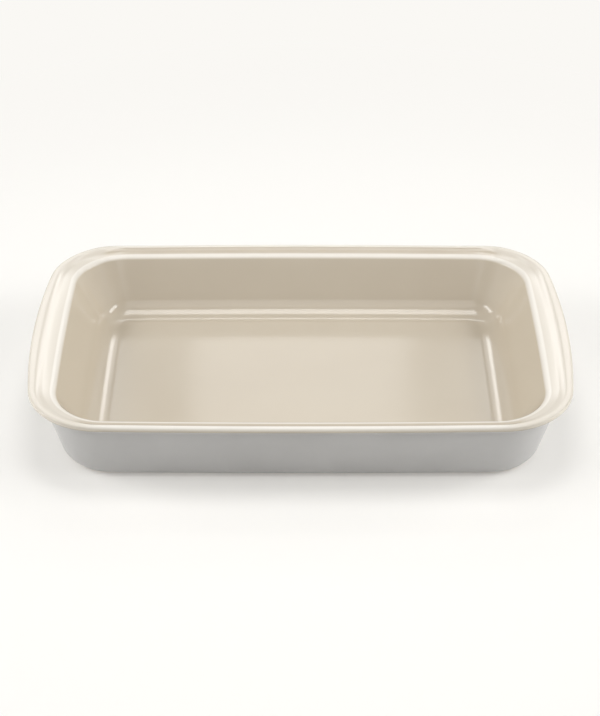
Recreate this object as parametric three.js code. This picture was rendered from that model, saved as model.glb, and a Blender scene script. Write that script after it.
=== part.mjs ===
// Rectangular stoneware baking dish.
// A thick fired body carries a cream glaze on the inside and over the rim, and a grey glaze on the
// outside. The foot and the underside are bare clay.
// Millimetres, +X along the length, +Y to the back, +Z up, origin on the table under the middle.
import * as THREE from 'three';
import { mergeVertices } from 'three/addons/utils/BufferGeometryUtils.js';

// Overall size, measured over the outer bead of the rim.
const overallLength = 390;
const overallWidth = 240;
const overallHeight = 55.5;

// Rim: a round bead on the outer edge, a hollow groove, and a sloping land down to the inner lip.
const beadRadius = 2.4;
const beadUnderAngle = 75;       // degrees below the bead's centre where the cream glaze stops
const grooveRadius = 5;
const grooveFadeStart = 65;      // from each end of the dish to where the groove starts to fade
const grooveFadeEnd = 36;        // from each end of the dish to where the groove is gone
const handleReach = 24;          // rim edge to mouth on the two short sides, the handles
const sideReach = 14.8;          // rim edge to mouth on the two long sides
const lipRadius = 5.5;
const lipDrop = 2.9;             // top of the lip below the top of the bead
const landAngle = 11;            // degrees that the land rises from the lip to the groove
const flarePower = 2.2;          // how late the rim widens towards the handles

// Inside: sloping walls that run through a wide fillet into a flat floor.
const innerDepth = 42;           // top of the bead to the floor
const floorRun = 33;             // mouth to the edge of the flat floor, on every side
const filletRadius = 21;

// Outside: a cove under the rim, a sloping wall and a rounded bottom edge.
const wallThickness = 8.2;       // mouth to the top of the outer wall
const coveHeight = 6;            // underside of the bead to the top of the outer wall
const footRun = 18;              // top of the outer wall to the edge of the foot's flat
const baseRadius = 4.5;
const glazeEndAngle = 56;        // degrees below level where the grey glaze stops on the bottom edge

// Underside: a flat bare foot all round a shallow recess.
const footWidth = 9;
const recessDepth = 3;
const recessSlope = 3;           // run of the slope between the foot and the recess

const glazeThickness = 0.4;

// Plan corners, and how far each short side bows out in its middle.
const rimCorner = 50;
const rimBow = 12.2;
const mouthCorner = 36;
const mouthBow = 2;
const floorCorner = 9;
const floorBow = 0.5;
const wallCorner = 44;
const wallBow = 2.5;
const footCorner = 27;
const footBow = 2;
const sideBow = 3.2;             // how far the curve of a long side comes in as far out as the handles reach

// Facets along a quarter of an outline and along each round stretch of the section.
const shortSideSteps = 3;
const cornerSteps = 8;
const longSideSteps = 2;
const filletSteps = 6;
const lipSteps = 4;
const landSteps = 2;
const grooveSteps = 3;
const beadSteps = 3;             // in each of the bead's three stretches
const coveSteps = 5;
const baseSteps = 4;

const radians = THREE.MathUtils.degToRad;

// A plan outline is a rounded rectangle given by half sizes, a corner radius and a bow.
const offsetPlan = (plan, distance) => ({
  halfLength: plan.halfLength + distance,
  halfWidth: plan.halfWidth + distance,
  corner: plan.corner + distance,
  bow: plan.bow,
});

const mixPlans = (first, second, share) => ({
  halfLength: THREE.MathUtils.lerp(first.halfLength, second.halfLength, share),
  halfWidth: THREE.MathUtils.lerp(first.halfWidth, second.halfWidth, share),
  corner: THREE.MathUtils.lerp(first.corner, second.corner, share),
  bow: THREE.MathUtils.lerp(first.bow, second.bow, share),
});

const reshapePlan = (plan, distance, corner, bow) => ({ ...offsetPlan(plan, distance), corner, bow });

const rimPlan = {
  halfLength: overallLength / 2,
  halfWidth: overallWidth / 2,
  corner: rimCorner,
  bow: rimBow,
};
const mouthPlan = {
  halfLength: overallLength / 2 - handleReach,
  halfWidth: overallWidth / 2 - sideReach,
  corner: mouthCorner,
  bow: mouthBow,
};
const floorPlan = reshapePlan(mouthPlan, -floorRun, floorCorner, floorBow);
const wallPlan = reshapePlan(mouthPlan, wallThickness, wallCorner, wallBow);
const footPlan = reshapePlan(wallPlan, -footRun, footCorner, footBow);

// The outline at a distance outward from the mouth, where the rim widens towards the handles.
function rimPlanAt(outward) {
  const flare = (outward / sideReach) ** flarePower;
  const level = offsetPlan(mouthPlan, outward);
  const even = offsetPlan(mouthPlan, sideReach);
  return {
    halfLength: level.halfLength + (rimPlan.halfLength - even.halfLength) * flare,
    halfWidth: level.halfWidth,
    corner: level.corner + (rimPlan.corner - even.corner) * flare,
    bow: level.bow + (rimPlan.bow - even.bow) * flare,
  };
}

// Points of one quarter: the bowed short side from its middle, the corner arc, the straight long side.
function quarterOutline({ halfLength, halfWidth, corner, bow }) {
  const sideRadius = halfWidth ** 2 / (2 * bow);
  const sideCentre = halfLength - sideRadius;
  const cornerY = halfWidth - corner;
  const cornerX = sideCentre + Math.sqrt((sideRadius - corner) ** 2 - cornerY ** 2);
  const joinAngle = Math.atan2(cornerY, cornerX - sideCentre);
  const points = [];
  for (let step = 0; step < shortSideSteps; step += 1) {
    const angle = joinAngle * step / shortSideSteps;
    points.push([sideCentre + sideRadius * Math.cos(angle), sideRadius * Math.sin(angle)]);
  }
  for (let step = 0; step <= cornerSteps; step += 1) {
    const angle = THREE.MathUtils.lerp(joinAngle, Math.PI / 2, step / cornerSteps);
    points.push([cornerX + corner * Math.cos(angle), cornerY + corner * Math.sin(angle)]);
  }
  for (let step = 1; step < longSideSteps; step += 1) {
    points.push([cornerX * (1 - step / longSideSteps), halfWidth]);
  }
  points.push([0, halfWidth]);
  return points;
}

// The long sides bow too: every outline narrows towards the ends by one curve.
const sideCurve = (x) => 1 - (sideBow / rimPlan.halfWidth) * (x / rimPlan.halfLength) ** 2;

// 0 along the long sides and 1 on the handles.
const handleShare = (x) => THREE.MathUtils.smoothstep(
  Math.abs(x), rimPlan.halfLength - grooveFadeStart, rimPlan.halfLength - grooveFadeEnd,
);

// A whole outline, anticlockwise seen from above, at one height that rises by fill on the handles.
function ringAt(plan, height, fill = 0) {
  const quarter = quarterOutline(plan);
  const last = quarter.length - 1;
  const ring = quarter.map(([x, y]) => [x, y]);
  for (let index = last - 1; index >= 0; index -= 1) ring.push([-quarter[index][0], quarter[index][1]]);
  for (let index = 1; index <= last; index += 1) ring.push([-quarter[index][0], -quarter[index][1]]);
  for (let index = last - 1; index > 0; index -= 1) ring.push([quarter[index][0], -quarter[index][1]]);
  return ring.map(([x, y]) => new THREE.Vector3(x, y * sideCurve(x), height + fill * handleShare(x)));
}

// Angle of the straight line that touches two section circles whose centres lie apart by run and
// drop, where reach is the distance that the circles' radii take up across the line.
const tangentAngle = (run, drop, reach) =>
  Math.acos(reach / Math.hypot(run, drop)) - Math.atan2(drop, run);

// Section stations from the edge of the floor, up the inside, over the rim and down the outside.
const floorHeight = overallHeight - innerDepth;
const lipHeight = overallHeight - lipDrop - lipRadius;
const filletHeight = floorHeight + filletRadius;
const beadHeight = overallHeight - beadRadius;
const innerSlope = tangentAngle(floorRun + lipRadius, lipHeight - filletHeight, lipRadius + filletRadius);

const quarterTurn = Math.PI / 2;
const spread = (steps, from, to) =>
  Array.from({ length: steps + 1 }, (unused, step) => THREE.MathUtils.lerp(from, to, step / steps));

const filletStations = spread(filletSteps, quarterTurn, innerSlope).map((angle) => ({
  plan: offsetPlan(floorPlan, filletRadius * Math.cos(angle)),
  height: filletHeight - filletRadius * Math.sin(angle),
}));

// From the lip to the bead the section is a list of points, outward from the mouth and upward.
const landSlope = radians(landAngle);
const along = new THREE.Vector2(Math.cos(landSlope), Math.sin(landSlope));
const square = new THREE.Vector2(-Math.sin(landSlope), Math.cos(landSlope));
const pointOn = (centre, radius, angle) =>
  new THREE.Vector2(Math.cos(angle), Math.sin(angle)).multiplyScalar(radius).add(centre);
const lipCentre = new THREE.Vector2(lipRadius, lipHeight);
const landStart = pointOn(lipCentre, lipRadius, quarterTurn + landSlope);
const beadCentre = new THREE.Vector2(sideReach - beadRadius, beadHeight);
const towardsBead = beadCentre.clone().sub(landStart);
const grooveAside = grooveRadius - towardsBead.dot(square);
const landLength = towardsBead.dot(along) - Math.sqrt((beadRadius + grooveRadius) ** 2 - grooveAside ** 2);
const landEnd = landStart.clone().addScaledVector(along, landLength);
const grooveCentre = landEnd.clone().addScaledVector(square, grooveRadius);
const beadJoin = grooveCentre.clone().sub(beadCentre).angle();

const lipPoints = spread(lipSteps, Math.PI - innerSlope, quarterTurn + landSlope)
  .map((angle) => pointOn(lipCentre, lipRadius, angle));
const landPoints = spread(landSteps, 0, 1).slice(1)
  .map((share) => landStart.clone().lerp(landEnd, share));
const groovePoints = spread(grooveSteps, landSlope - quarterTurn, beadJoin - Math.PI).slice(1)
  .map((angle) => pointOn(grooveCentre, grooveRadius, angle));
// The bead's arc passes through its top and its outermost point, so that the overall sizes are true.
const beadPoints = [
  ...spread(beadSteps, beadJoin, quarterTurn).slice(1),
  ...spread(beadSteps, quarterTurn, 0).slice(1),
  ...spread(beadSteps, 0, -radians(beadUnderAngle)).slice(1),
].map((angle) => pointOn(beadCentre, beadRadius, angle));

// On the handles a straight slope, which touches the bead, fills the groove.
const fillSlope = towardsBead.angle() + Math.asin(beadRadius / towardsBead.length());
const fillEnd = beadCentre.x - beadRadius * Math.sin(fillSlope);
const fillOver = ({ x, y }) =>
  (x > landStart.x && x < fillEnd ? landStart.y + Math.tan(fillSlope) * (x - landStart.x) - y : 0);
const rimStations = [...lipPoints, ...landPoints, ...groovePoints, ...beadPoints]
  .map((point) => ({ plan: rimPlanAt(point.x), height: point.y, fill: fillOver(point) }));

const coveTop = rimStations.at(-1);
const wallTopHeight = coveTop.height - coveHeight;
const coveStations = spread(coveSteps, 0, quarterTurn).slice(1).map((angle) => ({
  plan: mixPlans(coveTop.plan, wallPlan, Math.sin(angle)),
  height: coveTop.height - coveHeight * (1 - Math.cos(angle)),
}));
const outerSlope = tangentAngle(footRun, wallTopHeight - baseRadius, baseRadius);
const baseStations = spread(baseSteps, outerSlope, radians(glazeEndAngle)).map((angle) => ({
  plan: offsetPlan(footPlan, baseRadius * Math.cos(angle)),
  height: baseRadius * (1 - Math.sin(angle)),
}));

const stationsInside = [...filletStations, ...rimStations];
const stations = [...stationsInside, ...coveStations, ...baseStations];
const glazeJoin = stationsInside.length - 1;

// The body's surface lies one glaze thickness under each station, square to the section.
function underGlaze(index) {
  const before = stations[Math.max(index - 1, 0)];
  const after = stations[Math.min(index + 1, stations.length - 1)];
  const outward = index === 0 ? 1 : after.plan.halfWidth - before.plan.halfWidth;
  const upward = index === 0 ? 0 : after.height - before.height;
  const length = Math.hypot(outward, upward);
  const { plan, height, fill } = stations[index];
  return ringAt(
    offsetPlan(plan, glazeThickness * upward / length),
    height - glazeThickness * outward / length,
    fill,
  );
}

const glazeRings = stations.map(({ plan, height, fill }) => ringAt(plan, height, fill));
const bodyRings = stations.map((station, index) => underGlaze(index));

// The bare foot stands on the table, and the recess inside it clears the table.
const footRings = [
  ringAt(footPlan, 0),
  ringAt(offsetPlan(footPlan, -footWidth), 0),
  ringAt(offsetPlan(footPlan, -footWidth - recessSlope), recessDepth),
];

// Triangles are lists of points, three to a face. The air lies to the left of the section's path.
// Every band is split the same way, so pieces that share two rings share their facets too.
const nextIn = (ring, index) => ring[(index + 1) % ring.length];
const band = (first, second) => first.flatMap((point, index) => [
  point, nextIn(second, index), nextIn(first, index),
  point, second[index], nextIn(second, index),
]);
const skin = (rings) => rings.slice(1).flatMap((ring, index) => band(rings[index], ring));
const fan = (ring) => {
  const centre = new THREE.Vector3(0, 0, ring[0].z);
  return ring.flatMap((point, index) => [centre, point, nextIn(ring, index)]);
};
const flipped = (points) => points.map((point, index) => {
  const corner = index % 3;
  return corner === 0 ? point : points[index + (corner === 1 ? 1 : -1)];
});

function solid(...surfaces) {
  const geometry = mergeVertices(new THREE.BufferGeometry().setFromPoints(surfaces.flat()));
  geometry.computeVertexNormals();
  return geometry;
}

function piece(name, geometry, color, roughness) {
  const material = new THREE.MeshStandardMaterial({ color, roughness, metalness: 0 });
  const mesh = new THREE.Mesh(geometry, material);
  mesh.name = name;
  return mesh;
}

const glazeInside = glazeRings.slice(0, glazeJoin + 1);
const glazeOutside = glazeRings.slice(glazeJoin);
const bodyInside = bodyRings.slice(0, glazeJoin + 1);
const bodyOutside = bodyRings.slice(glazeJoin);
const joinFace = band(glazeRings[glazeJoin], bodyRings[glazeJoin]);
const innerGlaze = solid(
  fan(glazeInside[0]), skin(glazeInside), joinFace,
  flipped(skin(bodyInside)), flipped(fan(bodyInside[0])),
);
const outerGlaze = solid(
  skin(glazeOutside), band(glazeOutside.at(-1), bodyOutside.at(-1)),
  flipped(skin(bodyOutside)), flipped(joinFace),
);
const stonewareBody = solid(
  fan(bodyRings[0]), skin([...bodyRings, ...footRings]), flipped(fan(footRings.at(-1))),
);

const bakingDish = new THREE.Group();
bakingDish.add(piece('stoneware_body', stonewareBody, 0xc9b59a, 0.85));
bakingDish.add(piece('inner_glaze', innerGlaze, 0xc2b6a2, 0.16));
bakingDish.add(piece('outer_glaze', outerGlaze, 0xb1b0af, 0.4));

export default bakingDish;
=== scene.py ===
import math

import bmesh
import bpy
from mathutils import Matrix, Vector


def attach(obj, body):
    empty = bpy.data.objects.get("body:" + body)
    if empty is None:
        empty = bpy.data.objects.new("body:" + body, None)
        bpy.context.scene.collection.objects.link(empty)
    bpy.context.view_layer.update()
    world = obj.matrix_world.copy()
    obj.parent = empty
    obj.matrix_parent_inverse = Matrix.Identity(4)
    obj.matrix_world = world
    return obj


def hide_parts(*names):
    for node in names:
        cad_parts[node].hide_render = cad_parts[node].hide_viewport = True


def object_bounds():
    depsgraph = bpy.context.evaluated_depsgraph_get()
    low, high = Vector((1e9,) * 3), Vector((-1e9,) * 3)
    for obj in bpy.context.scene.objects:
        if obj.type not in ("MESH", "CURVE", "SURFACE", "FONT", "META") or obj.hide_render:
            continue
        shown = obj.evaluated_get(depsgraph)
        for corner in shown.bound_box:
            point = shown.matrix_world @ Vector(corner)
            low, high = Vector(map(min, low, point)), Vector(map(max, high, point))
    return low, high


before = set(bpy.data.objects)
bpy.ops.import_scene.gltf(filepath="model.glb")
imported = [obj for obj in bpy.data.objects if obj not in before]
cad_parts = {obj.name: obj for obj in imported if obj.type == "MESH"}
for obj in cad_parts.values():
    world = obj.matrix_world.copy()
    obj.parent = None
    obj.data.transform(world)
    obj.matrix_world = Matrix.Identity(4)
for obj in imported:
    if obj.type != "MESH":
        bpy.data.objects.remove(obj)        # stoneware_body, inner_glaze and outer_glaze, all on the one body
cadLow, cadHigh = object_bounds()
scene = bpy.context.scene
scene.view_settings.view_transform = "Standard"
print("frame loaded:", sorted(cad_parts))


# camera at the photograph's viewing angle
cameraView = {
    "elevation": 35.0,                   # degrees above the table
    "distance": 1.2975,
    "aim": (-0.0004, -0.0363, 0.0555),
    "imageHeight": 716,
    "focalPixels": 1819.6,
    "sensor": 36.0,                      # lies along the taller side of the image
}


def makeCamera():
    rise = math.radians(cameraView["elevation"])
    back = Vector((0, -math.cos(rise), math.sin(rise)))
    lens = bpy.data.cameras.new("dishCamera")
    lens.sensor_width = cameraView["sensor"]
    lens.lens = cameraView["focalPixels"] * cameraView["sensor"] / cameraView["imageHeight"]
    camera = bpy.data.objects.new("dishCamera", lens)
    camera.location = Vector(cameraView["aim"]) + back * cameraView["distance"]
    camera.rotation_euler = (math.pi / 2 - rise, 0, 0)
    scene.collection.objects.link(camera)
    scene.camera = camera


makeCamera()
print("camera placed")


# sizes of the dish in metres, its overall size comes from the frame
rimShape = {
    "beadRadius": 0.0024,
    "beadUnderAngle": 75,                # degrees below the bead's centre where the cream glaze stops
    "grooveRadius": 0.005,               # hollow between the land and the bead
    "grooveFade": (0.065, 0.036),        # from each end of the dish, where the groove fades and is gone
    "handleStart": 9,                    # degrees, a handle's slope beside the lip
    "handleFlank": ((0.0104, 0.00195, 12), (0.0142, 0.0008, 16)),   # from the mouth, below the top, degrees
    "handleEdge": 6,                     # power of a handle's rounded outer edge, 2 being round
    "handleReach": 0.024,                # rim edge to mouth on the short ends
    "sideReach": 0.0148,                 # rim edge to mouth on the long sides
    "lipRadius": 0.0055,
    "lipDrop": 0.0029,                   # top of the lip below the top of the bead
    "landSlope": 11,                     # degrees, rising to the bead
    "flarePower": 2.2,                   # how late the rim widens towards the handles
    "corner": 0.050,
    "bow": 0.0122,
    "sideBow": 0.0032,                   # how far a long side's curve comes in at the reach of the handles
}
insideShape = {
    "depth": 0.042,
    "floorRun": 0.0330,                  # mouth to the edge of the flat floor
    "filletRadius": 0.021,
    "mouthCorner": 0.036,
    "mouthBow": 0.002,
    "floorCorner": 0.009,
    "floorBow": 0.0005,
    "floorInsets": (0.004, 0.0012),      # rings that keep the floor flat up to its edge
}
outsideShape = {
    "wallThickness": 0.0090,             # mouth to the top of the outer wall
    "coveHeight": 0.006,                 # underside of the bead to the top of the outer wall
    "footRun": 0.0214,                   # top of the outer wall to the edge of the foot's flat
    "baseRadius": 0.013,
    "glazeEnd": 56,                      # degrees round the bottom edge where the grey glaze stops
    "wallCorner": 0.043,
    "wallBow": 0.0025,
    "footCorner": 0.0245,
    "footBow": 0.002,
}
outlineDetail = {"end": 8, "corner": 18, "side": 9}
sectionDetail = {
    "fillet": 18, "wall": 5, "lip": 14, "land": 5, "groove": 6, "bead": 8, "cove": 14, "base": 10}
glazeThickness = 0.0004
coatFlow = {                             # the glaze pools in hollows and breaks thin over edges; the pooled colour also paints shade into the rim's groove, and the pale thin coat paints highlights on the lip, the bead and the handles
    "filletPool": 0.3,
    # darker colour painted into the groove as its shade
    "grooveShade": 1.0,
    "covePool": 0.2,
    # pale colour painted on the lip as its highlight
    "lipHighlight": 0.50,
    "lipHighlightFull": 0.6,                 # share of the lip's arc, from the wall
    "lipHighlightEnd": 0.3,                  # share of the land, from the lip
    # pale colour painted on the bead's top as its highlight
    "beadHighlight": 0.6,
    "beadLean": 20,                      # degrees outward from the bead's top to its thinnest line, where the painted highlight is palest
    # pale colour painted over the handles' tops as their highlight
    "handleHighlight": 0.28,
}
seamWidth = 1e-6                         # vertices closer than this become one
quarterTurn = math.pi / 2


def spread(steps, first, last):
    return [first + (last - first) * step / steps for step in range(steps + 1)]


def easeInOut(share):
    return share * share * (3 - 2 * share)


# a plan is half an outline's length and width, its corner radius and the bow of its ends
def makePlan(length, width, corner, bow):
    return {"length": length, "width": width, "corner": corner, "bow": bow}


def grown(plan, distance):
    return makePlan(
        plan["length"] + distance, plan["width"] + distance, plan["corner"] + distance, plan["bow"])


def between(first, second, share):
    return {key: first[key] + (second[key] - first[key]) * share for key in first}


rimPlan = makePlan(cadHigh.x, cadHigh.y, rimShape["corner"], rimShape["bow"])
mouthPlan = makePlan(
    cadHigh.x - rimShape["handleReach"], cadHigh.y - rimShape["sideReach"],
    insideShape["mouthCorner"], insideShape["mouthBow"])
floorPlan = makePlan(
    mouthPlan["length"] - insideShape["floorRun"], mouthPlan["width"] - insideShape["floorRun"],
    insideShape["floorCorner"], insideShape["floorBow"])
wallPlan = makePlan(
    mouthPlan["length"] + outsideShape["wallThickness"], mouthPlan["width"] + outsideShape["wallThickness"],
    outsideShape["wallCorner"], outsideShape["wallBow"])
footPlan = makePlan(
    wallPlan["length"] - outsideShape["footRun"], wallPlan["width"] - outsideShape["footRun"],
    outsideShape["footCorner"], outsideShape["footBow"])
floorHeight = cadHigh.z - insideShape["depth"]
filletHeight = floorHeight + insideShape["filletRadius"]
lipHeight = cadHigh.z - rimShape["lipDrop"] - rimShape["lipRadius"]
landSlope = math.radians(rimShape["landSlope"])
landLow = lipHeight + rimShape["lipRadius"] * math.cos(landSlope)


# lean from the upright of a straight wall that touches the round stretches above and below it
def wallLean(run, drop, reach):
    return math.acos(reach / math.hypot(run, drop)) - math.atan2(drop, run)


# outline at a distance outward from the mouth, where the rim flares towards the handles
def rimPlanAt(outward):
    flare = (outward / rimShape["sideReach"]) ** rimShape["flarePower"]
    even = grown(mouthPlan, rimShape["sideReach"])
    level = grown(mouthPlan, outward)
    return {key: level[key] + (rimPlan[key] - even[key]) * flare for key in level}


# 0 along the long sides and 1 on the handles
def handleShare(x):
    start, end = rimShape["grooveFade"]
    return easeInOut(min(max((abs(x) - cadHigh.x + start) / (start - end), 0), 1))


# a handle's own distance from the mouth, where a long side has the one given
def handleDistance(outward):
    return rimPlanAt(outward)["length"] - mouthPlan["length"]


# height at a distance along a smooth curve through knots of distance, height and slope in degrees
def curveHeight(knots, distance):
    pair = next(pair for pair in zip(knots, knots[1:]) if distance <= pair[1][0] + seamWidth)
    (start, low, startSlope), (end, high, endSlope) = pair
    run = end - start
    share = (distance - start) / run
    bent = share * (1 - share) ** 2 * math.tan(math.radians(startSlope))
    bent -= share ** 2 * (1 - share) * math.tan(math.radians(endSlope))
    return low + (high - low) * easeInOut(share) + run * bent


def onCircle(centre, radius, angle):
    return centre + Vector((math.cos(angle), math.sin(angle))) * radius


# a station is a plan, its height, its coat, 1 being plain, which also sets painted shade and highlights, and
# how far the handles rise over it
def makeStation(plan, height, coat=1.0, fill=0.0):
    return {"plan": plan, "height": height, "coat": coat, "fill": fill}


# stations along the straight wall between two others
def wallStations(first, last):
    rise = last["height"] - first["height"]
    stations = []
    for share in spread(sectionDetail["wall"], 0, 1)[1:-1]:
        plan = between(first["plan"], last["plan"], share)
        stations.append(makeStation(plan, first["height"] + rise * share))
    return stations


def floorAndWallStations():
    radius = insideShape["filletRadius"]
    lip = rimShape["lipRadius"]
    lean = wallLean(insideShape["floorRun"] + lip, lipHeight - filletHeight, lip + radius)
    flat = [makeStation(grown(floorPlan, -inset), floorHeight) for inset in insideShape["floorInsets"]]
    fillet = []
    for angle in spread(sectionDetail["fillet"], quarterTurn, lean):
        coat = 1 + coatFlow["filletPool"] * math.sin(2 * angle)
        height = filletHeight - radius * math.sin(angle)
        fillet.append(makeStation(grown(floorPlan, radius * math.cos(angle)), height, coat))
    lipShares = spread(sectionDetail["lip"], 0, 1)
    lipAngles = spread(sectionDetail["lip"], lean, quarterTurn - landSlope)
    lips = []
    for share, angle in zip(lipShares, lipAngles):
        # the coat thins towards the lip's middle, where its pale colour is a painted highlight
        coat = 1 - coatFlow["lipHighlight"] * math.sin(quarterTurn * min(1, share / coatFlow["lipHighlightFull"]))
        plan = rimPlanAt(lip * (1 - math.cos(angle)))
        lips.append(makeStation(plan, lipHeight + lip * math.sin(angle), coat))
    return flat + fillet + wallStations(fillet[-1], lips[0]) + lips


# section of a long side's rim: the land touches the groove, and the groove touches the bead
def rimSection():
    bead = rimShape["beadRadius"]
    groove = rimShape["grooveRadius"]
    along = Vector((math.cos(landSlope), math.sin(landSlope)))
    upward = Vector((-math.sin(landSlope), math.cos(landSlope)))
    landStart = Vector((rimShape["lipRadius"] * (1 - math.sin(landSlope)), landLow))
    beadCentre = Vector((rimShape["sideReach"] - bead, cadHigh.z - bead))
    towardsBead = beadCentre - landStart
    aside = groove - towardsBead.dot(upward)
    landEnd = landStart + along * (towardsBead.dot(along) - math.sqrt((bead + groove) ** 2 - aside ** 2))
    grooveCentre = landEnd + upward * groove
    towardsGroove = grooveCentre - beadCentre
    return {
        "landStart": landStart, "landEnd": landEnd, "grooveCentre": grooveCentre, "beadCentre": beadCentre,
        "beadStart": math.atan2(towardsGroove.y, towardsGroove.x)}


# points along the land, the groove and the bead, each with the thickness of its coat, which paints shade into
# the groove and highlights on the lip's edge and the bead's top
def rimPoints(section):
    lipHighlightCoat = 1 - coatFlow["lipHighlight"]
    pooledShade = 1 + coatFlow["grooveShade"]
    points = []
    for share in spread(sectionDetail["land"], 0, 1)[1:]:
        coat = min(pooledShade, lipHighlightCoat + (1 - lipHighlightCoat) * share / coatFlow["lipHighlightEnd"])
        points.append((section["landStart"].lerp(section["landEnd"], share), coat))
    grooveAngles = spread(sectionDetail["groove"], landSlope - quarterTurn, section["beadStart"] - math.pi)
    grooveCoats = spread(sectionDetail["groove"], pooledShade, 1.0)
    for angle, coat in list(zip(grooveAngles, grooveCoats))[1:]:
        points.append((onCircle(section["grooveCentre"], rimShape["grooveRadius"], angle), coat))
    underside = -math.radians(rimShape["beadUnderAngle"])
    beadLean = math.radians(coatFlow["beadLean"])
    # the bead's top gets the pale colour of a painted highlight
    for first, last in ((section["beadStart"], quarterTurn), (quarterTurn, 0), (0, underside)):
        for angle in spread(sectionDetail["bead"], first, last)[1:]:
            coat = 1 - coatFlow["beadHighlight"] * max(0.0, math.sin(angle + beadLean))
            points.append((onCircle(section["beadCentre"], rimShape["beadRadius"], angle), coat))
    return points


# height of a handle where a long side has the point given
def handleHeight(point, section):
    landStart = section["landStart"]
    beadCentre = section["beadCentre"]
    if point.x < beadCentre.x:
        knots = [(handleDistance(landStart.x), landStart.y, rimShape["handleStart"])]
        for distance, drop, tilt in rimShape["handleFlank"]:
            knots.append((distance, cadHigh.z - drop, tilt))
        knots.append((handleDistance(beadCentre.x), cadHigh.z, 0))
        return curveHeight(knots, handleDistance(point.x))
    if point.y > beadCentre.y:
        bead = rimShape["beadRadius"]
        square = rimShape["handleEdge"]
        outward = (point.x - beadCentre.x) / bead
        return beadCentre.y + bead * (1 - outward ** square) ** (1 / square)
    return point.y


def landAndBeadStations():
    section = rimSection()
    stations = []
    for point, coat in rimPoints(section):
        fill = handleHeight(point, section) - point.y
        stations.append(makeStation(rimPlanAt(point.x), point.y, coat, fill))
    return stations


def outsideStations(top):
    radius = outsideShape["baseRadius"]
    lean = wallLean(outsideShape["footRun"], top["height"] - outsideShape["coveHeight"] - radius, radius)
    cove = [top]
    for angle in spread(sectionDetail["cove"], 0, quarterTurn)[1:]:
        height = top["height"] - outsideShape["coveHeight"] * (1 - math.cos(angle))
        plan = between(top["plan"], wallPlan, math.sin(angle))
        cove.append(makeStation(plan, height, 1 + coatFlow["covePool"]))
    base = []
    for angle in spread(sectionDetail["base"], lean, math.radians(outsideShape["glazeEnd"])):
        base.append(makeStation(grown(footPlan, radius * math.cos(angle)), radius * (1 - math.sin(angle))))
    return cove + wallStations(cove[-1], base[0]) + base


# modelling steps shared by the clay and its two glazes
def turnVertex(mesh, vertex, centre, angle, steps):
    swept = bmesh.ops.spin(mesh, geom=[vertex], cent=centre, axis=(0, 0, 1), angle=angle, steps=steps)
    return next(item for item in swept["geom_last"] if isinstance(item, bmesh.types.BMVert))


# a quarter of an outline: one vertex turned along the bowed end and the corner, then drawn along the side
def quarterOutline(mesh, plan, height):
    endRadius = plan["width"] ** 2 / (2 * plan["bow"])
    endCentre = plan["length"] - endRadius
    cornerY = plan["width"] - plan["corner"]
    cornerX = endCentre + math.sqrt((endRadius - plan["corner"]) ** 2 - cornerY ** 2)
    endTurn = math.atan2(cornerY, cornerX - endCentre)
    known = set(mesh.edges)
    tip = mesh.verts.new((plan["length"], 0, height))
    tip = turnVertex(mesh, tip, (endCentre, 0, height), endTurn, outlineDetail["end"])
    tip = turnVertex(mesh, tip, (cornerX, cornerY, height), quarterTurn - endTurn, outlineDetail["corner"])
    side = bmesh.ops.extrude_vert_indiv(mesh, verts=[tip])
    side["verts"][0].co = (0, plan["width"], height)
    bmesh.ops.subdivide_edges(mesh, edges=side["edges"], cuts=outlineDetail["side"])
    return [edge for edge in mesh.edges if edge not in known]


# bridges a row of outlines, mirrors the quarter into a ring, bows its long sides and raises its handles
def loftStations(mesh, stations):
    # coat thickness per vertex, which also carries where shade and highlights are painted
    coatLayer = mesh.verts.layers.float.new("glazeCoatAndPaintedLight")
    fillLayer = mesh.verts.layers.float.new("handleFill")
    outlines = []
    for station in stations:
        outline = quarterOutline(mesh, station["plan"], station["height"])
        for edge in outline:
            for vertex in edge.verts:
                vertex[coatLayer] = station["coat"]
                vertex[fillLayer] = station["fill"]
        outlines.append(outline)
    for lower, upper in zip(outlines, outlines[1:]):
        bmesh.ops.bridge_loops(mesh, edges=lower + upper)
    for axis in "XY":
        drawn = mesh.verts[:] + mesh.edges[:] + mesh.faces[:]
        bmesh.ops.mirror(mesh, geom=drawn, merge_dist=seamWidth, axis=axis)
    bmesh.ops.remove_doubles(mesh, verts=mesh.verts, dist=seamWidth)
    for vertex in mesh.verts:
        vertex.co.y *= 1 - rimShape["sideBow"] / cadHigh.y * (vertex.co.x / cadHigh.x) ** 2
        vertex.co.z += vertex[fillLayer] * handleShare(vertex.co.x)


def fillOpening(mesh, height):
    opening = [
        edge for edge in mesh.edges
        if edge.is_boundary and all(abs(vertex.co.z - height) < seamWidth for vertex in edge.verts)]
    bmesh.ops.edgeloop_fill(mesh, edges=opening)


def finishPiece(mesh, name, material, node):
    data = bpy.data.meshes.new(name)
    mesh.to_mesh(data)
    mesh.free()
    data.shade_smooth()
    data.materials.append(material)
    piece = bpy.data.objects.new(name, data)
    scene.collection.objects.link(piece)
    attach(piece, "root")
    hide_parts(node)
    print("made", name, "with", len(data.polygons), "faces")
    return piece


def addThickness(piece):
    coat = piece.modifiers.new("coatThickness", "SOLIDIFY")
    coat.thickness = glazeThickness
    coat.offset = -1                     # inward, from the surface that was drawn
    coat.use_even_offset = True


# node helpers
noiseSpan = (0.3, 0.7)                   # noise levels between which a finish goes from plain to pale


def newMaterial(name):
    material = bpy.data.materials.new(name)
    material.use_nodes = True
    return material, material.node_tree, material.node_tree.nodes["Principled BSDF"]


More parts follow.
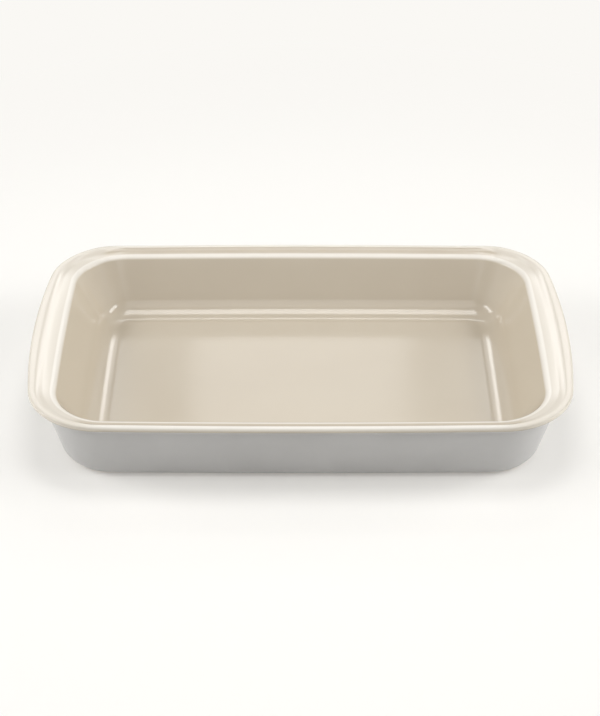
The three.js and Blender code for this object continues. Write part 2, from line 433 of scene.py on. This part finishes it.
def addNoise(tree, pattern):
    noise = tree.nodes.new("ShaderNodeTexNoise")
    noise.inputs["Scale"].default_value = pattern["scale"]
    noise.inputs["Detail"].default_value = pattern["detail"]
    noise.inputs["Roughness"].default_value = pattern["roughness"]
    coordinates = tree.nodes.new("ShaderNodeTexCoord")
    tree.links.new(coordinates.outputs["Object"], noise.inputs["Vector"])
    return noise.outputs["Fac"]


def addRamp(tree, source, plain, pale):
    ramp = tree.nodes.new("ShaderNodeValToRGB")
    for element, position, colour in zip(ramp.color_ramp.elements, noiseSpan, (plain, pale)):
        element.position = position
        element.color = (*colour, 1)
    tree.links.new(source, ramp.inputs["Fac"])
    return ramp.outputs["Color"]


def addRange(tree, source, fromSpan, toSpan):
    mapped = tree.nodes.new("ShaderNodeMapRange")
    sockets = ("From Min", "From Max", "To Min", "To Max")
    for socket, value in zip(sockets, (*fromSpan, *toSpan)):
        mapped.inputs[socket].default_value = value
    tree.links.new(source, mapped.inputs["Value"])
    return mapped.outputs["Result"]


# lays a second colour over the first one by a share that varies over the surface
def addOverlay(tree, share, first, colour):
    mix = tree.nodes.new("ShaderNodeMix")
    mix.data_type = "RGBA"
    tree.links.new(share, mix.inputs["Factor"])
    tree.links.new(first, mix.inputs["A"])
    mix.inputs["B"].default_value = (*colour, 1)
    return mix.outputs["Result"]


def addBump(tree, shader, layers):
    normal = None
    for height, relief in layers:
        bump = tree.nodes.new("ShaderNodeBump")
        bump.inputs["Strength"].default_value = relief["strength"]
        bump.inputs["Distance"].default_value = relief["depth"]
        tree.links.new(height, bump.inputs["Height"])
        if normal is not None:
            tree.links.new(normal, bump.inputs["Normal"])
        normal = bump.outputs["Normal"]
    tree.links.new(normal, shader.inputs["Normal"])


# cream glaze of the inside and the rim
creamLook = {
    "poolAndShade": (0.44, 0.37, 0.28),          # where the coat pools, and painted shade in the rim's groove
    "plain": (0.52, 0.455, 0.36),
    "pale": (0.535, 0.472, 0.376),
    "edge": (0.80, 0.765, 0.70),         # painted highlight on the bead, the lip and the handles, where the coat breaks thin over them
    "poolAndShadeCoat": 2.0,                   # thickness with the full share of the darker pooled and shaded colour
    "poolAndShadeShare": 0.5,
    "fullHighlightCoat": 0.4,                   # thickness at which the painted highlight colour is all that shows
    "cloud": {"scale": 14, "detail": 3, "roughness": 0.5},
    "ripple": {"scale": 22, "detail": 1, "roughness": 0.4},
    "peel": {"scale": 420, "detail": 2, "roughness": 0.5},
    "rippleRelief": {"depth": 0.0002, "strength": 0.05},
    "peelRelief": {"depth": 0.00002, "strength": 0.2},
    "roughness": (0.11, 0.14),
    "thinRoughness": 0.16,               # added where the coat breaks thin and the highlight colour is painted
}


def creamMaterial():
    material, tree, shader = newMaterial("creamGlaze")
    cloud = addNoise(tree, creamLook["cloud"])
    ripple = addNoise(tree, creamLook["ripple"])
    peel = addNoise(tree, creamLook["peel"])
    coat = tree.nodes.new("ShaderNodeAttribute")
    coat.attribute_name = "glazeCoatAndPaintedLight"
    thickness = coat.outputs["Fac"]
    # darker colour where the coat pools, painted shade in the rim's groove
    pooledShade = addRange(tree, thickness, (1.0, creamLook["poolAndShadeCoat"]), (0.0, creamLook["poolAndShadeShare"]))
    # pale colour where the coat thins, a painted highlight on the lip, the bead and the handles
    thinCoatHighlight = addRange(tree, thickness, (1.0, creamLook["fullHighlightCoat"]), (0.0, 1.0))
    colour = addRamp(tree, cloud, creamLook["plain"], creamLook["pale"])
    colour = addOverlay(tree, pooledShade, colour, creamLook["poolAndShade"])
    colour = addOverlay(tree, thinCoatHighlight, colour, creamLook["edge"])
    tree.links.new(colour, shader.inputs["Base Color"])
    gloss = addRange(tree, cloud, noiseSpan, creamLook["roughness"])
    satin = tree.nodes.new("ShaderNodeMath")
    satin.operation = "MULTIPLY_ADD"
    tree.links.new(thinCoatHighlight, satin.inputs[0])
    satin.inputs[1].default_value = creamLook["thinRoughness"]
    tree.links.new(gloss, satin.inputs[2])
    tree.links.new(satin.outputs["Value"], shader.inputs["Roughness"])
    addBump(tree, shader, [(ripple, creamLook["rippleRelief"]), (peel, creamLook["peelRelief"])])
    return material


def makeCreamGlaze(stations):
    mesh = bmesh.new()
    loftStations(mesh, stations)
    fillOpening(mesh, floorHeight)
    coatLayer = mesh.verts.layers.float["glazeCoatAndPaintedLight"]
    # the handles' tops are painted paler, as their highlight
    handleHighlightCoat = 1 - coatFlow["handleHighlight"]
    for vertex in mesh.verts:
        if vertex.co.z > landLow + seamWidth:
            vertex[coatLayer] += (handleHighlightCoat - vertex[coatLayer]) * handleShare(vertex.co.x)
    bmesh.ops.recalc_face_normals(mesh, faces=mesh.faces)
    dishFloor = max(mesh.faces, key=lambda face: face.calc_area())
    if dishFloor.normal.z < 0:
        bmesh.ops.reverse_faces(mesh, faces=mesh.faces)
    piece = finishPiece(mesh, "creamGlaze", creamMaterial(), "inner_glaze")
    addThickness(piece)


# grey glaze of the outside
greyLook = {
    "plain": (0.49, 0.485, 0.48),
    "pale": (0.53, 0.525, 0.52),
    "cloud": {"scale": 18, "detail": 4, "roughness": 0.55},
    "grain": {"scale": 900, "detail": 2, "roughness": 0.5},
    "cloudRelief": {"depth": 0.0003, "strength": 0.15},
    "grainRelief": {"depth": 0.00003, "strength": 0.3},
    "roughness": (0.32, 0.42),
}


def greyMaterial():
    material, tree, shader = newMaterial("greyGlaze")
    cloud = addNoise(tree, greyLook["cloud"])
    grain = addNoise(tree, greyLook["grain"])
    colour = addRamp(tree, cloud, greyLook["plain"], greyLook["pale"])
    tree.links.new(colour, shader.inputs["Base Color"])
    gloss = addRange(tree, grain, noiseSpan, greyLook["roughness"])
    tree.links.new(gloss, shader.inputs["Roughness"])
    addBump(tree, shader, [(cloud, greyLook["cloudRelief"]), (grain, greyLook["grainRelief"])])
    return material


def makeGreyGlaze(stations):
    mesh = bmesh.new()
    loftStations(mesh, stations)
    bmesh.ops.recalc_face_normals(mesh, faces=mesh.faces)
    piece = finishPiece(mesh, "greyGlaze", greyMaterial(), "outer_glaze")
    addThickness(piece)


# fired clay, bare on the foot and the underside
clayShape = {
    "footWidth": 0.009,
    "recessDepth": 0.003,
    "recessSlope": 0.003,
    "sharpEdge": 0.5,                    # radians, the edges that bend more are worn soft
    "softening": 0.0009,                 # worn edges of the foot and the recess
    "softSteps": 3,
    "bareSteps": 6,
}
clayLook = {
    "plain": (0.50, 0.39, 0.27),
    "pale": (0.62, 0.50, 0.36),
    "fleck": (0.20, 0.13, 0.08),
    "fleckSpan": (0.70, 0.76),           # noise levels where a fleck starts and is full
    "fleckShare": 0.8,
    "cloud": {"scale": 30, "detail": 5, "roughness": 0.6},
    "grain": {"scale": 1500, "detail": 3, "roughness": 0.6},
    "flecks": {"scale": 700, "detail": 1, "roughness": 0.4},
    "cloudRelief": {"depth": 0.0003, "strength": 0.3},
    "grainRelief": {"depth": 0.00012, "strength": 0.6},
    "roughness": (0.78, 0.92),
}


def clayMaterial():
    material, tree, shader = newMaterial("bareClay")
    cloud = addNoise(tree, clayLook["cloud"])
    grain = addNoise(tree, clayLook["grain"])
    fleck = addNoise(tree, clayLook["flecks"])
    colour = addRamp(tree, cloud, clayLook["plain"], clayLook["pale"])
    flecked = addRange(tree, fleck, clayLook["fleckSpan"], (0.0, clayLook["fleckShare"]))
    colour = addOverlay(tree, flecked, colour, clayLook["fleck"])
    tree.links.new(colour, shader.inputs["Base Color"])
    chalk = addRange(tree, cloud, noiseSpan, clayLook["roughness"])
    tree.links.new(chalk, shader.inputs["Roughness"])
    addBump(tree, shader, [(cloud, clayLook["cloudRelief"]), (grain, clayLook["grainRelief"])])
    return material


def bareStations():
    radius = outsideShape["baseRadius"]
    stations = []
    angles = spread(clayShape["bareSteps"], math.radians(outsideShape["glazeEnd"]), quarterTurn)
    for angle in angles[1:]:
        plan = grown(footPlan, radius * math.cos(angle))
        stations.append(makeStation(plan, radius * (1 - math.sin(angle)), coat=0.0))
    recessEdge = grown(footPlan, -clayShape["footWidth"])
    stations.append(makeStation(recessEdge, 0.0, coat=0.0))
    recessPlan = grown(recessEdge, -clayShape["recessSlope"])
    stations.append(makeStation(recessPlan, clayShape["recessDepth"], coat=0.0))
    return stations


def makeClayBody(glazed, bare):
    mesh = bmesh.new()
    loftStations(mesh, [{**station, "coat": 1.0} for station in glazed] + bare)
    fillOpening(mesh, floorHeight)
    fillOpening(mesh, clayShape["recessDepth"])
    bmesh.ops.recalc_face_normals(mesh, faces=mesh.faces)
    # the clay lies under its glaze, and is at its full size where it is bare
    coatLayer = mesh.verts.layers.float["glazeCoatAndPaintedLight"]
    inward = [(vertex, vertex.normal * glazeThickness * vertex[coatLayer]) for vertex in mesh.verts]
    for vertex, step in inward:
        vertex.co -= step
    recessEdges = [
        edge for edge in mesh.edges
        if len(edge.link_faces) == 2 and edge.calc_face_angle() > clayShape["sharpEdge"]
        and max(vertex.co.z for vertex in edge.verts) < clayShape["recessDepth"] + seamWidth
        and max(vertex[coatLayer] for vertex in edge.verts) == 0]
    bmesh.ops.bevel(
        mesh, geom=recessEdges, offset=clayShape["softening"], segments=clayShape["softSteps"], profile=0.5,
        affect="EDGES", material=-1)
    finishPiece(mesh, "clayBody", clayMaterial(), "stoneware_body")


insideRow = floorAndWallStations() + landAndBeadStations()
outsideRow = outsideStations(insideRow[-1])
makeCreamGlaze(insideRow)
makeGreyGlaze(outsideRow)
makeClayBody(insideRow + outsideRow[1:], bareStations())


# pale floor, which turns into the plain backdrop away from the dish
studio = {
    "backdrop": (0.956, 0.939, 0.905),
    "floorColour": (0.915, 0.90, 0.866),
    "floorHalf": 6.0,
    "floorPlain": (0.34, 0.60),          # distance from the middle where the shadow's floor fades out
    "shadowLift": 0.3,                   # share of the plain backdrop close to the dish
    "ambient": 0.03,
}


# 1 for what the camera sees, straight or in a reflection, and 0 for light that falls on the dish
def shownRays(tree):
    path = tree.nodes.new("ShaderNodeLightPath")
    total = path.outputs["Is Camera Ray"]
    for name in ("Is Glossy Ray", "Is Transmission Ray"):
        added = tree.nodes.new("ShaderNodeMath")
        added.operation = "ADD"
        added.use_clamp = True
        tree.links.new(total, added.inputs[0])
        tree.links.new(path.outputs[name], added.inputs[1])
        total = added.outputs["Value"]
    return total


def floorMaterial():
    material = bpy.data.materials.new("paleFloor")
    material.use_nodes = True
    tree = material.node_tree
    tree.nodes.clear()
    output = tree.nodes.new("ShaderNodeOutputMaterial")
    matt = tree.nodes.new("ShaderNodeBsdfDiffuse")
    matt.inputs["Color"].default_value = (*studio["floorColour"], 1)
    plain = tree.nodes.new("ShaderNodeEmission")
    plain.inputs["Color"].default_value = (*studio["backdrop"], 1)
    coordinates = tree.nodes.new("ShaderNodeTexCoord")
    distance = tree.nodes.new("ShaderNodeVectorMath")
    distance.operation = "LENGTH"
    tree.links.new(coordinates.outputs["Object"], distance.inputs[0])
    away = addRange(tree, distance.outputs["Value"], studio["floorPlain"], (studio["shadowLift"], 1.0))
    share = tree.nodes.new("ShaderNodeMath")
    share.operation = "MULTIPLY"
    tree.links.new(away, share.inputs[0])
    tree.links.new(shownRays(tree), share.inputs[1])
    mix = tree.nodes.new("ShaderNodeMixShader")
    tree.links.new(share.outputs["Value"], mix.inputs["Fac"])
    tree.links.new(matt.outputs["BSDF"], mix.inputs[1])
    tree.links.new(plain.outputs["Emission"], mix.inputs[2])
    tree.links.new(mix.outputs["Shader"], output.inputs["Surface"])
    return material


def makeFloor():
    mesh = bmesh.new()
    bmesh.ops.create_grid(mesh, x_segments=1, y_segments=1, size=studio["floorHalf"])
    data = bpy.data.meshes.new("floor")
    mesh.to_mesh(data)
    mesh.free()
    data.materials.append(floorMaterial())
    floor = bpy.data.objects.new("floor", data)
    scene.collection.objects.link(floor)


def makeWorld():
    world = bpy.data.worlds.new("studio")
    scene.world = world
    world.use_nodes = True
    tree = world.node_tree
    tree.nodes.clear()
    output = tree.nodes.new("ShaderNodeOutputWorld")
    ambient = tree.nodes.new("ShaderNodeBackground")
    ambient.inputs["Color"].default_value = (1, 1, 1, 1)
    ambient.inputs["Strength"].default_value = studio["ambient"]
    backdrop = tree.nodes.new("ShaderNodeBackground")
    backdrop.inputs["Color"].default_value = (*studio["backdrop"], 1)
    mix = tree.nodes.new("ShaderNodeMixShader")
    tree.links.new(shownRays(tree), mix.inputs["Fac"])
    tree.links.new(ambient.outputs["Background"], mix.inputs[1])
    tree.links.new(backdrop.outputs["Background"], mix.inputs[2])
    tree.links.new(mix.outputs["Shader"], output.inputs["Surface"])


# soft boxes: place and size in metres, how bright each looks, and whether the glaze mirrors it
lamps = {
    "topBox": {"place": (0, 0, 1.3), "size": (0.5, 0.5), "bright": 4.7},
    "frontBox": {"place": (0, -0.85, 1.1), "size": (0.8, 0.8), "bright": 1.0},
    "leftBox": {"place": (-1.9, -0.24, 1.54), "size": (1.38, 0.42), "bright": 6.3},
    "rightBox": {"place": (1.9, -0.24, 1.54), "size": (1.38, 0.42), "bright": 6.5},
    "backPanel": {"place": (0, 1.0, 0.72), "size": (0.31, 0.28), "bright": 1.2},
    "leftPanel": {"place": (-2.0, 0, 0.76), "size": (2.4, 1.4), "bright": 2.15, "mirrored": False},
    "rightPanel": {"place": (2.0, 0, 0.76), "size": (2.4, 1.4), "bright": 2.3, "mirrored": False},
    "backStrip": {"place": (0, 0.9, 1.3), "size": (0.75, 0.1), "bright": 5.0},
    "farLeft": {"place": (-2.82, 12, 8.1), "size": (2.28, 2.2), "bright": 3.1},
    "farRight": {"place": (2.82, 12, 8.1), "size": (2.28, 2.2), "bright": 3.1},
}
wattsForWhite = 4                        # for each square metre of a box that looks as bright as 1


def makeLamps():
    for name, lamp in lamps.items():
        light = bpy.data.lights.new(name, "AREA")
        light.shape = "RECTANGLE"
        light.size, light.size_y = lamp["size"]
        light.energy = wattsForWhite * lamp["bright"] * light.size * light.size_y
        item = bpy.data.objects.new(name, light)
        item.location = lamp["place"]
        item.rotation_euler = Vector(lamp["place"]).to_track_quat("Z", "Y").to_euler()
        item.visible_camera = False
        item.visible_glossy = lamp.get("mirrored", True)
        scene.collection.objects.link(item)


makeFloor()
makeWorld()
makeLamps()
print("studio lit")
